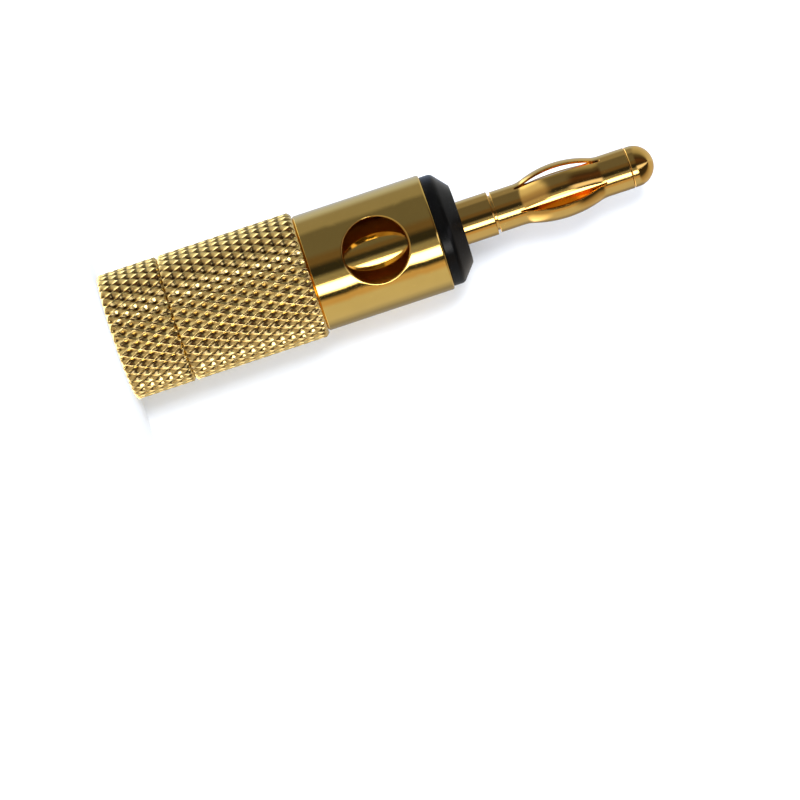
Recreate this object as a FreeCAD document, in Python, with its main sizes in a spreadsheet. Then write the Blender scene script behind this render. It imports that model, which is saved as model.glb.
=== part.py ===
import FreeCAD, Part
import Sketcher
import math
import os

# Banana plug with a clamp screw, standing on its flat rear end.
# The axis is +Z, the contact pin points up, and the origin is the centre of the rear face.
# The side wire hole faces -Y. All lengths are in millimetres and all angles in degrees.

doc = FreeCAD.newDocument("banana_plug")
sheet = doc.addObject("Spreadsheet::Sheet", "Sizes")

# Driving dimensions

DRIVING_SIZES = {
    # lengths along the plug, from the rear face to the tip
    "cap_length": 4.8,
    "sleeve_length": 10.8,
    "barrel_length": 10.2,
    "ring_length": 2.0,
    "shaft_length": 2.75,
    "cage_play": 0.2,
    "cage_length": 10.8,
    "cage_end_gap": 0.02,
    "head_cylinder": 0.35,
    # diamond knurl on the end cap and the clamp screw
    "knurl_dia": 10.0,
    "knurl_depth": 0.33,
    "knurl_count": 40,
    "knurl_row": 0.78,
    "edge_break": 0.12,
    "front_break": 0.28,
    # walls between the knurl's grooves and the two threads
    "cap_wall": 0.94,
    "skirt_wall": 0.54,
    # barrel, a step below the knurl, with its tail under the skirt
    "barrel_step": 0.4,
    "tail_wall": 0.5,
    "tail_length": 6.2,
    "front_wall": 1.5,
    "nose_recess": 0.2,
    "edge_chamfer": 0.15,
    # side wire hole
    "side_hole_dia": 5.08,
    "side_hole_setback": 4.85,
    "hole_chamfer": 0.12,
    # clamp screw
    "plunger_room": 1.15,
    "plunger_gap": 0.2,
    "plunger_chamfer": 0.3,
    "skirt_end_gap": 0.2,
    "stub_chamfer": 0.3,
    # wire way through the end cap's floor and into the stub
    "cap_floor": 1.6,
    "wire_hole_dia": 3.0,
    "wire_sink_width": 0.65,
    "wire_depth": 6.0,
    "strand_gap": 0.3,
    "mouth_chamfer": 0.2,
    # marker ring
    "ring_step": 0.225,
    "ring_wall": 1.665,
    "ring_lip": 0.375,
    "ring_slope": 1.1,
    # spring cage, rolled from sheet
    "cage_dia": 3.24,
    "sheet_thickness": 0.2,
    "bulge_rise": 0.62,
    "rear_collar": 1.85,
    "front_collar": 2.05,
    "bulge_blend": 2.2,
    "leaf_count": 5,
    "slit_width": 0.22,
    "seam_width": 0.12,
    "seam_turn": 167.0,
    # contact pin, against the cage that it carries
    "stem_dia": 2.6,
    "shaft_step": 0.095,
    "head_step": 0.02,
    "pin_chamfer": 0.12,
    # clearances, each measured on the radius
    "thread_fit": 0.03,
    "press_fit": 0.01,
    "cage_fit": 0.04,
}

for row_number, (alias, value) in enumerate(DRIVING_SIZES.items(), start=1):
    sheet.set(f"A{row_number}", alias)
    sheet.set(f"B{row_number}", str(value))
    sheet.setAlias(f"B{row_number}", alias)
doc.recompute()


class Size:
    """A length with its present value and the sheet formula that it comes from."""

    def __init__(self, value, formula):
        self.value = float(value)
        self.formula = formula

    def __add__(self, other):
        other = as_size(other)
        return Size(self.value + other.value, f"({self.formula} + {other.formula})")

    def __sub__(self, other):
        other = as_size(other)
        return Size(self.value - other.value, f"({self.formula} - {other.formula})")

    def __mul__(self, other):
        other = as_size(other)
        return Size(self.value * other.value, f"({self.formula} * {other.formula})")

    def __truediv__(self, other):
        other = as_size(other)
        return Size(self.value / other.value, f"({self.formula} / {other.formula})")


def as_size(number):
    if isinstance(number, Size):
        return number
    return Size(number, repr(float(number)))


def size(alias):
    return Size(sheet.get(alias), f"Sizes.{alias}")


def radius(alias):
    return size(alias) / 2


# Stations along the axis

AXIS = as_size(0)
cap_front = size("cap_length")
sleeve_front = cap_front + size("sleeve_length")
barrel_front = sleeve_front + size("barrel_length")
ring_front = barrel_front + size("ring_length")
nose_front = ring_front - size("nose_recess")
shaft_front = nose_front + size("shaft_length")
cage_rear = shaft_front + size("cage_play")
cage_front = cage_rear + size("cage_length")
head_rear = cage_front + size("cage_end_gap")
dome_centre = head_rear + size("head_cylinder")
bore_floor = barrel_front - size("front_wall")
tail_rear = sleeve_front - size("tail_length")
skirt_floor = tail_rear - size("skirt_end_gap")
plunger_front = bore_floor - size("plunger_gap")
side_hole_height = barrel_front - size("side_hole_setback")
stub_rear = size("cap_floor") + size("strand_gap")

# Radii, each worked out from the piece that it fits or steps down from

knurl_root = radius("knurl_dia") - size("knurl_depth")
cap_bore = knurl_root - size("cap_wall")
stub_radius = cap_bore - size("thread_fit")
skirt_bore = knurl_root - size("skirt_wall")
tail_radius = skirt_bore - size("thread_fit")
barrel_radius = radius("knurl_dia") - size("barrel_step")
barrel_bore = tail_radius - size("tail_wall")
plunger_radius = barrel_bore - size("plunger_room")
wire_radius = radius("wire_hole_dia")
ring_radius = barrel_radius - size("ring_step")
ring_bore = ring_radius - size("ring_wall")
nose_radius = ring_bore - size("press_fit")
stem_radius = radius("stem_dia")
cage_radius = radius("cage_dia")
cage_bore = cage_radius - size("sheet_thickness")
bulge_radius = cage_radius + size("bulge_rise")


# Sketch helpers

def new_body(name):
    body = doc.addObject("PartDesign::Body", name)
    body.Label = name
    return body


def new_sketch(body, name):
    """Sketch on the body's own XZ plane: across is X, up is Z."""
    planes = [plane for plane in body.Origin.OriginFeatures if plane.Role == "XZ_Plane"]
    sketch = body.newObject("Sketcher::SketchObject", name)
    sketch.AttachmentSupport = [(planes[0], "")]
    sketch.MapMode = "FlatFace"
    return sketch


def arc_between(start, end, arc_radius, side):
    """Short anticlockwise arc through both points, bowed to the left (+1) or right (-1)."""
    chord = end - start
    half_chord = chord.Length / 2
    rise = arc_radius - math.sqrt(arc_radius ** 2 - half_chord ** 2)
    left = FreeCAD.Vector(-chord.y, chord.x, 0).normalize()
    middle = (start + end) * 0.5 + left * (rise * side)
    if side > 0:
        return Part.Arc(end, middle, start)
    return Part.Arc(start, middle, end)


def hold_point(sketch, point, amount, direction, name):
    """Hold a point at a signed distance from the origin, or on the axis where that is zero."""
    if abs(amount.value) < 1e-9:
        axis = -2 if direction == "DistanceX" else -1
        sketch.addConstraint(Sketcher.Constraint("PointOnObject", *point, axis))
        return
    place = Sketcher.Constraint(direction, -1, 1, *point, amount.value)
    index = sketch.addConstraint(place)
    sketch.renameConstraint(index, name)
    sketch.setExpression(f"Constraints.{name}", amount.formula)


def draw_outline(body, name, corners):
    """Closed outline of (across, up) corners.

    A third and fourth entry make the stretch to the next corner an arc of that radius,
    bowed to that side.
    """
    sketch = new_sketch(body, name)
    points = [FreeCAD.Vector(corner[0].value, corner[1].value, 0) for corner in corners]
    starts = []
    for index, corner in enumerate(corners):
        end = points[(index + 1) % len(points)]
        if len(corner) == 2:
            stretch = Part.LineSegment(points[index], end)
            begins_here = True
        else:
            stretch = arc_between(points[index], end, corner[2].value, corner[3])
            begins_here = corner[3] < 0
        starts.append((sketch.addGeometry(stretch, False), 1 if begins_here else 2))
    for index, corner in enumerate(corners):
        stretch_id, start = starts[index]
        following = starts[(index + 1) % len(starts)]
        join = Sketcher.Constraint("Coincident", stretch_id, 3 - start, *following)
        sketch.addConstraint(join)
        hold_point(sketch, starts[index], corner[0], "DistanceX", f"across_{index}")
        hold_point(sketch, starts[index], corner[1], "DistanceY", f"up_{index}")
        if len(corner) == 4:
            bend = sketch.addConstraint(
                Sketcher.Constraint("Radius", stretch_id, corner[2].value))
            sketch.renameConstraint(bend, f"bend_{index}")
            sketch.setExpression(f"Constraints.bend_{index}", corner[2].formula)
    return sketch


def turn(body, name, corners):
    """Solid of revolution about the plug's axis from a half section."""
    sketch = draw_outline(body, f"{name}_section", corners)
    turned = body.newObject("PartDesign::Revolution", name)
    turned.Profile = sketch
    turned.ReferenceAxis = (sketch, ["V_Axis"])
    turned.Angle = 360.0
    doc.recompute()
    return turned


def cut_towards_minus_y(body, name, sketch, depth):
    """Pocket from the axis plane out through the -Y side only."""
    volume_before = body.Shape.Volume
    pocket = body.newObject("PartDesign::Pocket", name)
    pocket.Profile = sketch
    pocket.Reversed = True
    pocket.setExpression("Length", depth.formula)
    doc.recompute()
    if not pocket.Shape.Volume < volume_before:
        raise RuntimeError(f"{name} cuts nothing")
    return pocket


# Knurled stock: rows of diamonds, rolled into the bar at one angle each way

def knurled_stock(name, rear, front, front_break):
    """Closed band of pyramids between two heights, with both end edges broken."""
    high = radius("knurl_dia").value
    low = knurl_root.value
    columns = 2 * int(round(size("knurl_count").value))
    first_row = rear.value + size("edge_break").value
    last_row = front.value - front_break.value
    rows = max(2, round((last_row - first_row) / size("knurl_row").value))
    corners = []

    def add_ring(height, has_peaks, shift):
        for column in range(columns):
            is_peak = has_peaks and (column + shift) % 2 == 0
            reach = high if is_peak else low
            angle = 2 * math.pi * column / columns
            corners.append((reach * math.cos(angle), reach * math.sin(angle), height))

    add_ring(rear.value, False, 0)
    for row in range(rows + 1):
        add_ring(first_row + (last_row - first_row) * row / rows, True, row)
    add_ring(front.value, False, 0)
    rings = rows + 3

    rear_centre = len(corners)
    corners.append((0, 0, rear.value))
    front_centre = len(corners)
    corners.append((0, 0, front.value))
    last_ring = (rings - 1) * columns
    triangles = []
    for column in range(columns):
        following = (column + 1) % columns
        triangles.append((rear_centre, following, column))
        triangles.append((front_centre, last_ring + column, last_ring + following))
        for ring in range(rings - 1):
            below = ring * columns
            above = below + columns
            # each groove runs between the two low corners of its patch
            if (column + ring) % 2 == 0:
                triangles.append((below + column, below + following, above + following))
                triangles.append((below + column, above + following, above + column))
            else:
                triangles.append((below + column, below + following, above + column))
                triangles.append((below + following, above + following, above + column))

    skin = Part.Shape()
    skin.makeShapeFromMesh((corners, triangles), 0.001)
    stock = doc.addObject("Part::Feature", name)
    stock.Shape = Part.Solid(skin).removeSplitter()
    return stock


def boolean(kind, name, base, tool):
    result = doc.addObject(kind, name)
    result.Label = name
    result.Base = base
    result.Tool = tool
    return result


# End cap: knurled nut with a countersunk wire hole in its floor

def make_end_cap():
    stock = knurled_stock("cap_stock", AXIS, cap_front, size("edge_break"))
    hollow = new_body("cap_hollow")
    turn(hollow, "cap_hollow_turned", [
        (AXIS, AXIS),
        (wire_radius + size("wire_sink_width"), AXIS),
        (wire_radius, size("wire_sink_width")),
        (wire_radius, size("cap_floor")),
        (cap_bore, size("cap_floor")),
        (cap_bore, cap_front - size("mouth_chamfer")),
        (cap_bore + size("mouth_chamfer"), cap_front),
        (AXIS, cap_front),
    ])
    return boolean("Part::Cut", "end_cap", stock, hollow)


# Clamp screw: knurled sleeve with a plunger in front and a hollow threaded stub behind

def make_clamp_screw():
    stock = knurled_stock("sleeve_stock", cap_front, sleeve_front, size("front_break"))
    skirt = new_body("skirt_hollow")
    turn(skirt, "skirt_hollow_turned", [
        (AXIS, skirt_floor),
        (skirt_bore, skirt_floor),
        (skirt_bore, sleeve_front - size("mouth_chamfer")),
        (skirt_bore + size("mouth_chamfer"), sleeve_front),
        (AXIS, sleeve_front),
    ])
    sleeve = boolean("Part::Cut", "sleeve_shell", stock, skirt)

    post = new_body("post")
    post_root = skirt_floor - size("skirt_end_gap")
    turn(post, "post_turned", [
        (AXIS, stub_rear),
        (stub_radius - size("stub_chamfer"), stub_rear),
        (stub_radius, stub_rear + size("stub_chamfer")),
        (stub_radius, post_root),
        (plunger_radius, post_root),
        (plunger_radius, plunger_front - size("plunger_chamfer")),
        (plunger_radius - size("plunger_chamfer"), plunger_front),
        (AXIS, plunger_front),
    ])
    joined = boolean("Part::Fuse", "sleeve_and_post", sleeve, post)

    wire_way = new_body("wire_way")
    way_floor = stub_rear + size("wire_depth")
    turn(wire_way, "wire_way_turned", [
        (AXIS, stub_rear),
        (wire_radius, stub_rear),
        (wire_radius, way_floor),
        (AXIS, way_floor + wire_radius / 2),
    ])
    return boolean("Part::Cut", "clamp_screw", joined, wire_way)


# Barrel: turned shell with the side wire hole, a threaded tail and a nose for the ring

def make_barrel():
    barrel = new_body("barrel")
    chamfer = size("edge_chamfer")
    stem_hole = stem_radius + size("press_fit")
    turn(barrel, "barrel_turned", [
        (barrel_bore, tail_rear),
        (tail_radius - chamfer, tail_rear),
        (tail_radius, tail_rear + chamfer),
        (tail_radius, sleeve_front),
        (barrel_radius - chamfer, sleeve_front),
        (barrel_radius, sleeve_front + chamfer),
        (barrel_radius, barrel_front - chamfer),
        (barrel_radius - chamfer, barrel_front),
        (nose_radius, barrel_front),
        (nose_radius, nose_front),
        (stem_hole, nose_front),
        (stem_hole, bore_floor),
        (barrel_bore, bore_floor),
    ])

    hole = new_sketch(barrel, "side_hole_circle")
    hole_radius = radius("side_hole_dia")
    centre = FreeCAD.Vector(0, side_hole_height.value, 0)
    circle = sketch_circle(hole, centre, hole_radius)
    hold_point(hole, (circle, 3), AXIS, "DistanceX", "hole_across")
    hold_point(hole, (circle, 3), side_hole_height, "DistanceY", "hole_up")
    pocket = cut_towards_minus_y(barrel, "side_hole", hole, barrel_radius * 2)

    edge = doc.addObject("PartDesign::Chamfer", "side_hole_edge")
    barrel.addObject(edge)
    edge.Base = (pocket, rim_edges(pocket.Shape, hole_radius.value))
    edge.setExpression("Size", size("hole_chamfer").formula)
    barrel.Tip = edge
    return barrel


def sketch_circle(sketch, centre, circle_radius):
    shape = Part.Circle(centre, FreeCAD.Vector(0, 0, 1), circle_radius.value)
    circle = sketch.addGeometry(shape, False)
    index = sketch.addConstraint(Sketcher.Constraint("Radius", circle, circle_radius.value))
    sketch.renameConstraint(index, "circle_radius")
    sketch.setExpression("Constraints.circle_radius", circle_radius.formula)
    return circle


def rim_edges(shape, hole_radius):
    """Names of the edges where the side hole breaks out of the barrel's outside."""
    names = []
    for number, edge in enumerate(shape.Edges, start=1):
        middle = edge.valueAt((edge.FirstParameter + edge.LastParameter) / 2)
        from_axis = math.hypot(middle.x, middle.y)
        from_hole = math.hypot(middle.x, middle.z - side_hole_height.value)
        on_outside = abs(from_axis - barrel_radius.value) < 1e-3
        if on_outside and abs(from_hole - hole_radius) < 1e-3:
            names.append(f"Edge{number}")
    return names


# Marker ring: black plastic, coned towards the pin, pressed over the barrel's nose

def make_color_ring():
    ring = new_body("color_ring")
    turn(ring, "ring_turned", [
        (ring_bore, barrel_front),
        (ring_radius, barrel_front),
        (ring_radius, ring_front - size("ring_slope")),
        (nose_radius + size("ring_lip"), ring_front),
        (ring_bore, ring_front),
    ])
    return ring


# Contact pin: stem pressed into the nose, shaft, core for the cage, and domed head

def make_contact_pin():
    pin = new_body("contact_pin")
    shaft = cage_radius + size("shaft_step")
    core = cage_bore - size("cage_fit")
    head = cage_radius - size("head_step")
    chamfer = size("pin_chamfer")
    turn(pin, "pin_turned", [
        (AXIS, bore_floor),
        (stem_radius, bore_floor),
        (stem_radius, nose_front),
        (shaft, nose_front),
        (shaft, shaft_front - chamfer),
        (shaft - chamfer, shaft_front),
        (core, shaft_front),
        (core, head_rear),
        (head - chamfer, head_rear),
        (head, head_rear + chamfer),
        (head, dome_centre, head, -1),
        (AXIS, dome_centre + head),
    ])
    return pin


# Spring cage: slit sheet rolled round the core, with its leaves bulged between two collars

def make_spring_cage():
    cage = new_body("spring_cage")
    thickness = size("sheet_thickness")
    rise = size("bulge_rise")
    bulge_rear = cage_rear + size("rear_collar")
    bulge_front = cage_front - size("front_collar")
    half_length = (bulge_front - bulge_rear) / 2

    # the leaf leaves its collar on a blend arc and goes over on one flatter arc
    blend = size("bulge_blend")
    span = half_length * half_length + rise * rise
    crown = span / (rise * 2) - blend
    along = half_length * rise * 2 / span
    lift = rise * rise * 2 / span
    blend_inner = blend + thickness
    crown_inner = crown - thickness
    turn(cage, "cage_turned", [
        (cage_bore, cage_rear),
        (cage_radius, cage_rear),
        (cage_radius, bulge_rear, blend, 1),
        (cage_radius + blend * lift, bulge_rear + blend * along, crown, -1),
        (cage_radius + blend * lift, bulge_front - blend * along, blend, 1),
        (cage_radius, bulge_front),
        (cage_radius, cage_front),
        (cage_bore, cage_front),
        (cage_bore, bulge_front, blend_inner, -1),
        (cage_bore + blend_inner * lift, bulge_front - blend_inner * along, crown_inner, 1),
        (cage_bore + blend_inner * lift, bulge_rear + blend_inner * along, blend_inner, -1),
        (cage_bore, bulge_rear),
    ])

    # leaves keep their width, so each slit opens to a lens where the cage bulges
    half_slit = size("slit_width") / 2
    opening = rise * math.pi / size("leaf_count")
    lens = (half_length * half_length + opening * opening) / (opening * 2)
    slit = draw_outline(cage, "slit_outline", [
        (AXIS - half_slit, bulge_rear),
        (half_slit, bulge_rear, lens, -1),
        (half_slit, bulge_front),
        (AXIS - half_slit, bulge_front, lens, -1),
    ])
    first_slit = cut_towards_minus_y(cage, "first_slit", slit, bulge_radius * 2)
    volume_with_one = first_slit.Shape.Volume
    slits = cage.newObject("PartDesign::PolarPattern", "slits")
    slits.Originals = [first_slit]
    slits.Axis = (slit, ["V_Axis"])
    slits.Angle = 360.0
    slits.setExpression("Occurrences", size("leaf_count").formula)
    cage.Tip = slits
    doc.recompute()
    if not slits.Shape.Volume < volume_with_one:
        raise RuntimeError("the slits were not repeated")

    half_seam = size("seam_width") / 2
    seam = draw_outline(cage, "seam_outline", [
        (AXIS - half_seam, cage_rear),
        (half_seam, cage_rear),
        (half_seam, cage_front),
        (AXIS - half_seam, cage_front),
    ])
    cage.Tip = cut_towards_minus_y(cage, "seam", seam, bulge_radius * 2)
    turn_formula = size("seam_turn").formula
    cage.Placement = FreeCAD.Placement(
        FreeCAD.Vector(0, 0, 0), FreeCAD.Rotation(FreeCAD.Vector(0, 0, 1), 1))
    cage.setExpression("Placement.Rotation.Angle", turn_formula)
    return cage


sub_parts = [
    make_end_cap(),
    make_clamp_screw(),
    make_barrel(),
    make_color_ring(),
    make_contact_pin(),
    make_spring_cage(),
]
doc.recompute()

# Every object and every sub-part is sound before anything is written

for item in doc.Objects:
    if "Invalid" in item.State or "Error" in item.State:
        raise RuntimeError(f"{item.Label} did not build: {item.State}")
for part in sub_parts:
    if part.Shape.isNull() or not part.Shape.isValid():
        raise RuntimeError(f"{part.Label} has no sound shape")

os.makedirs("parts", exist_ok=True)
for part in sub_parts:
    part.Shape.exportStep(f"parts/{part.Label}.step")
    print(part.Label, "solids", len(part.Shape.Solids), "volume", round(part.Shape.Volume, 2))
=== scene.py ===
import bpy
import bmesh
import math
from mathutils import Matrix, Vector


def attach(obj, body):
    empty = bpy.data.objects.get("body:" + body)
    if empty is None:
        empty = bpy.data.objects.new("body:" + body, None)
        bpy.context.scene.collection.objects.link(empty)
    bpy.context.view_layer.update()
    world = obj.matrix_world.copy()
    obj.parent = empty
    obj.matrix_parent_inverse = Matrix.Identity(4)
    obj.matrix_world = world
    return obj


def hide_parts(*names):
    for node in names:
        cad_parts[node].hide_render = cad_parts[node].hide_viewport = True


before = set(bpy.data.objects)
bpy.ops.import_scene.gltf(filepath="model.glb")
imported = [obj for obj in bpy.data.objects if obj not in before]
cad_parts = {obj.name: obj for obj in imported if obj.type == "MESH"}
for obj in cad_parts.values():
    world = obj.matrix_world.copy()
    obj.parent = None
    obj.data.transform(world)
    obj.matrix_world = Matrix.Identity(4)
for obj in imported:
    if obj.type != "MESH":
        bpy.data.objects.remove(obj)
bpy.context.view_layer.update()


# Barrel
# The plug's body, turned in one piece from brass bar and plated in polished gold. Its side hole
# is drilled and its rim rounded over, its nose carries the marker ring, its tail is threaded.

MM = 0.001
SEGMENTS = 256
SHARP = math.radians(35)

BARREL_RADIUS, BARREL_BORE = 4.6, 3.6
BARREL_REAR, BARREL_FRONT, BORE_FLOOR = 15.6, 25.8, 24.3
TAIL_REAR, TAIL_ROOT, TAIL_CREST = 9.4, 3.95, 4.1
NOSE_RADIUS, NOSE_FRONT, STEM_HOLE = 2.7, 27.6, 1.31
HOLE_RADIUS, HOLE_HEIGHT, HOLE_ROUNDING = 2.54, 20.95, 0.13
HOLE_WINDOW, WINDOW_HALF, WINDOW_STEPS = 36, 3.1, 16
REAR_CHAMFER = 0.15

# The plate's gold, and the painted warm shade and bounce light for the inside of the bore.
BARREL_GOLD, BORE_PAINTED_SHADE = (0.92, 0.62, 0.17), (0.62, 0.26, 0.06)


def rounded_outline(corners):
    """Half section with its corners rounded, as (radius, height) points in millimetres.

    A corner is (radius, height) or (radius, height, rounding). Each rounding gets a support
    point on both sides, so that smooth shading doesn't spread over the flat stretch.
    """
    path = []
    for index, corner in enumerate(corners):
        here = Vector(corner[:2])
        if len(corner) == 2:
            path.append(here)
            continue
        back = (Vector(corners[index - 1][:2]) - here).normalized()
        ahead = (Vector(corners[(index + 1) % len(corners)][:2]) - here).normalized()
        half = back.angle(ahead) / 2
        reach = corner[2] / math.tan(half)
        centre = here + (back + ahead).normalized() * (corner[2] / math.sin(half))
        first = here + back * reach - centre
        last = here + ahead * reach - centre
        path.append(here + back * (reach + corner[2] * 0.4))
        for step in range(5):
            path.append(centre + first.slerp(last, step / 4) * corner[2])
        path.append(here + ahead * (reach + corner[2] * 0.4))
    return path


def turned(path, segments=SEGMENTS):
    """Bmesh of a half section turned about the axis, and its vertices row by row.

    Column 0 faces -Y. A point on the axis is one vertex, which closes the pole.
    """
    bm = bmesh.new()
    rows = []
    for radius, height in path:
        if radius < 1e-6:
            rows.append([bm.verts.new((0, 0, height))] * segments)
            continue
        row = []
        for column in range(segments):
            angle = 2 * math.pi * column / segments - math.pi / 2
            row.append(bm.verts.new((radius * math.cos(angle), radius * math.sin(angle), height)))
        rows.append(row)
    for index, low in enumerate(rows):
        high = rows[(index + 1) % len(rows)]
        for column in range(segments):
            following = (column + 1) % segments
            ring = [low[column], low[following], high[following], high[column]]
            corners = list(dict.fromkeys(ring))
            if len(corners) > 2:
                bm.faces.new(corners)
    return bm, rows


def make_piece(name, bm, material, sharp=SHARP):
    """Object at the origin from a bmesh in millimetres, with outward faces and crisp edges."""
    bmesh.ops.scale(bm, vec=(MM, MM, MM), verts=bm.verts)
    bmesh.ops.recalc_face_normals(bm, faces=bm.faces)
    mesh = bpy.data.meshes.new(name)
    bm.to_mesh(mesh)
    bm.free()
    mesh.materials.clear()
    mesh.materials.append(material)
    mesh.shade_smooth()
    mesh.set_sharp_from_angle(angle=sharp)
    piece = bpy.data.objects.new(name, mesh)
    bpy.context.scene.collection.objects.link(piece)
    return piece


def settle(piece, body, node):
    """The piece stands for a node, whose part it hides, and moves with its body."""
    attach(piece, body)
    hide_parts(node)


class Sum:
    """A number inside a node tree: arithmetic on it adds the Math nodes that work it out."""

    def __init__(self, tree, socket):
        self.tree = tree
        self.socket = socket

    def step(self, operation, *others):
        node = self.tree.nodes.new("ShaderNodeMath")
        node.operation = operation
        for place, value in enumerate((self,) + others):
            if isinstance(value, Sum):
                self.tree.links.new(value.socket, node.inputs[place])
            else:
                node.inputs[place].default_value = value
        return Sum(self.tree, node.outputs[0])

    def __add__(self, other):
        return self.step("ADD", other)

    def __sub__(self, other):
        return self.step("SUBTRACT", other)

    def __mul__(self, other):
        return self.step("MULTIPLY", other)

    def __truediv__(self, other):
        return self.step("DIVIDE", other)


def node_in(tree, kind, **settings):
    node = tree.nodes.new(kind)
    for key, value in settings.items():
        setattr(node, key, value)
    return node


def link(tree, source, target):
    tree.links.new(source.socket if isinstance(source, Sum) else source, target)


def noise_in(tree, place, stretch, detail=3.0):
    """Noise on the object's own coordinates, with so many grains to the millimetre each way."""
    mapping = node_in(tree, "ShaderNodeMapping")
    mapping.inputs["Scale"].default_value = [grains * 1000 for grains in stretch]
    noise = node_in(tree, "ShaderNodeTexNoise")
    noise.inputs["Scale"].default_value = 1.0
    noise.inputs["Detail"].default_value = detail
    link(tree, place.outputs["Object"], mapping.inputs["Vector"])
    link(tree, mapping.outputs["Vector"], noise.inputs["Vector"])
    return Sum(tree, noise.outputs["Fac"])


def shade_between(tree, amount, dark, light):
    """Colour ramp from one colour to another."""
    ramp = node_in(tree, "ShaderNodeValToRGB")
    ramp.color_ramp.elements[0].color = (*dark, 1)
    ramp.color_ramp.elements[1].color = (*light, 1)
    ramp.color_ramp.elements[0].position = 0.3
    ramp.color_ramp.elements[1].position = 0.7
    link(tree, amount, ramp.inputs["Fac"])
    return ramp.outputs["Color"]


def plated_gold(name, colour, roughness, spread, grain, lines, bump):
    """Gold plate: faint tool lines round the axis, a fine grain and slightly uneven polish."""
    material = bpy.data.materials.new(name)
    material.use_nodes = True
    tree = material.node_tree
    shader = tree.nodes["Principled BSDF"]
    shader.inputs["Metallic"].default_value = 1.0
    place = node_in(tree, "ShaderNodeTexCoord")
    cloud = noise_in(tree, place, (0.35, 0.35, 0.35), 4.0)
    pits = noise_in(tree, place, grain)
    tool_lines = noise_in(tree, place, lines, 2.0)
    darker = [channel * 0.93 for channel in colour]
    link(tree, shade_between(tree, cloud, darker, colour), shader.inputs["Base Color"])
    uneven = cloud * 0.6 + tool_lines * 0.4
    link(tree, uneven * spread + (roughness - spread / 2), shader.inputs["Roughness"])
    height = pits * 0.5 + tool_lines * 0.5
    relief = node_in(tree, "ShaderNodeBump")
    relief.inputs["Strength"].default_value = 1.0
    relief.inputs["Distance"].default_value = bump * MM
    link(tree, height, relief.inputs["Height"])
    link(tree, relief.outputs["Normal"], shader.inputs["Normal"])
    return material


def paint_shade_inside(material, inner, outer, rear, front, colour, metallic):
    """Paints shade into the plate nearer the axis, between two heights in millimetres: the given
    shade colour, and less metal where asked.
    """
    tree = material.node_tree
    shader = tree.nodes["Principled BSDF"]
    place = node_in(tree, "ShaderNodeTexCoord")
    parts = node_in(tree, "ShaderNodeSeparateXYZ")
    link(tree, place.outputs["Object"], parts.inputs[0])
    x, y, z = [Sum(tree, output) / MM for output in parts.outputs]
    radius = (x * x + y * y).step("SQRT")
    share = ((radius * -1.0 + outer) / (outer - inner)).step("MAXIMUM", 0.0).step("MINIMUM", 1.0)
    ends = (z - rear).step("MINIMUM", z * -1.0 + front) / 0.2
    share = share * ends.step("MAXIMUM", 0.0).step("MINIMUM", 1.0)
    shade_mix = node_in(tree, "ShaderNodeMix", data_type="RGBA")
    link(tree, share, shade_mix.inputs[0])
    link(tree, shader.inputs["Base Color"].links[0].from_socket, shade_mix.inputs[6])
    shade_mix.inputs[7].default_value = (*colour, 1)
    link(tree, shade_mix.outputs[2], shader.inputs["Base Color"])
    link(tree, share * (metallic - 1.0) + 1.0, shader.inputs["Metallic"])


def window_edge(rows, reach):
    """Vertices once round the window that is left for the side hole, from its low -X corner."""
    low, high = rows[0], rows[-1]
    around = [low[column] for column in range(-reach, reach)]
    around += [row[reach] for row in rows[:-1]]
    around += [high[column] for column in range(reach, -reach, -1)]
    around += [row[-reach] for row in rows[:0:-1]]
    return around


def open_window(bm, rows, reach):
    """Takes away the wall inside the window."""
    inside = [row[column] for row in rows[1:-1] for column in range(-reach + 1, reach)]
    bmesh.ops.delete(bm, geom=inside, context="VERTS")


def wall_y(radius, x):
    return -math.sqrt(radius * radius - x * x)


def drill_side_hole(bm, outer_rows, bore_rows):
    """Joins both windows by rings of faces that follow the round hole and its rounded rim."""
    outer_edge = window_edge(outer_rows, HOLE_WINDOW)
    bore_edge = window_edge(bore_rows, HOLE_WINDOW)
    open_window(bm, outer_rows, HOLE_WINDOW)
    open_window(bm, bore_rows, HOLE_WINDOW)
    turns = [math.atan2(vert.co.z - HOLE_HEIGHT, vert.co.x) for vert in outer_edge]

    def ring(place):
        return [bm.verts.new(place(index, math.cos(turn), math.sin(turn)))
                for index, turn in enumerate(turns)]

    def between(edge, wall, hole, share):
        def place(index, cosine, sine):
            x = edge[index].co.x * (1 - share) + hole * cosine * share
            z = edge[index].co.z * (1 - share) + (HOLE_HEIGHT + hole * sine) * share
            return x, wall_y(wall, x), z
        return place

    def rim(angle):
        spread = HOLE_RADIUS + HOLE_ROUNDING * (1 - math.sin(angle))
        depth = HOLE_ROUNDING * (1 - math.cos(angle))

        def place(index, cosine, sine):
            x = spread * cosine
            return x, wall_y(BARREL_RADIUS, x) + depth, HOLE_HEIGHT + spread * sine
        return place

    def down_the_wall(share):
        def place(index, cosine, sine):
            x = HOLE_RADIUS * cosine
            top = wall_y(BARREL_RADIUS, x) + HOLE_ROUNDING
            y = top * (1 - share) + wall_y(BARREL_BORE, x) * share
            return x, y, HOLE_HEIGHT + HOLE_RADIUS * sine
        return place

    rings = [outer_edge]
    for share in (0.25, 0.5, 0.75, 0.93):
        rings.append(ring(between(outer_edge, BARREL_RADIUS, HOLE_RADIUS + HOLE_ROUNDING, share)))
    for step in range(6):
        rings.append(ring(rim(math.radians(18 * step))))
    for share in (0.05, 0.35, 0.65, 0.95, 1.0):
        rings.append(ring(down_the_wall(share)))
    for share in (0.9, 0.5):
        rings.append(ring(between(bore_edge, BARREL_BORE, HOLE_RADIUS, share)))
    rings.append(bore_edge)
    for outer, inner in zip(rings, rings[1:]):
        for index, vert in enumerate(outer):
            following = (index + 1) % len(outer)
            bm.faces.new((vert, outer[following], inner[following], inner[index]))


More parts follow.
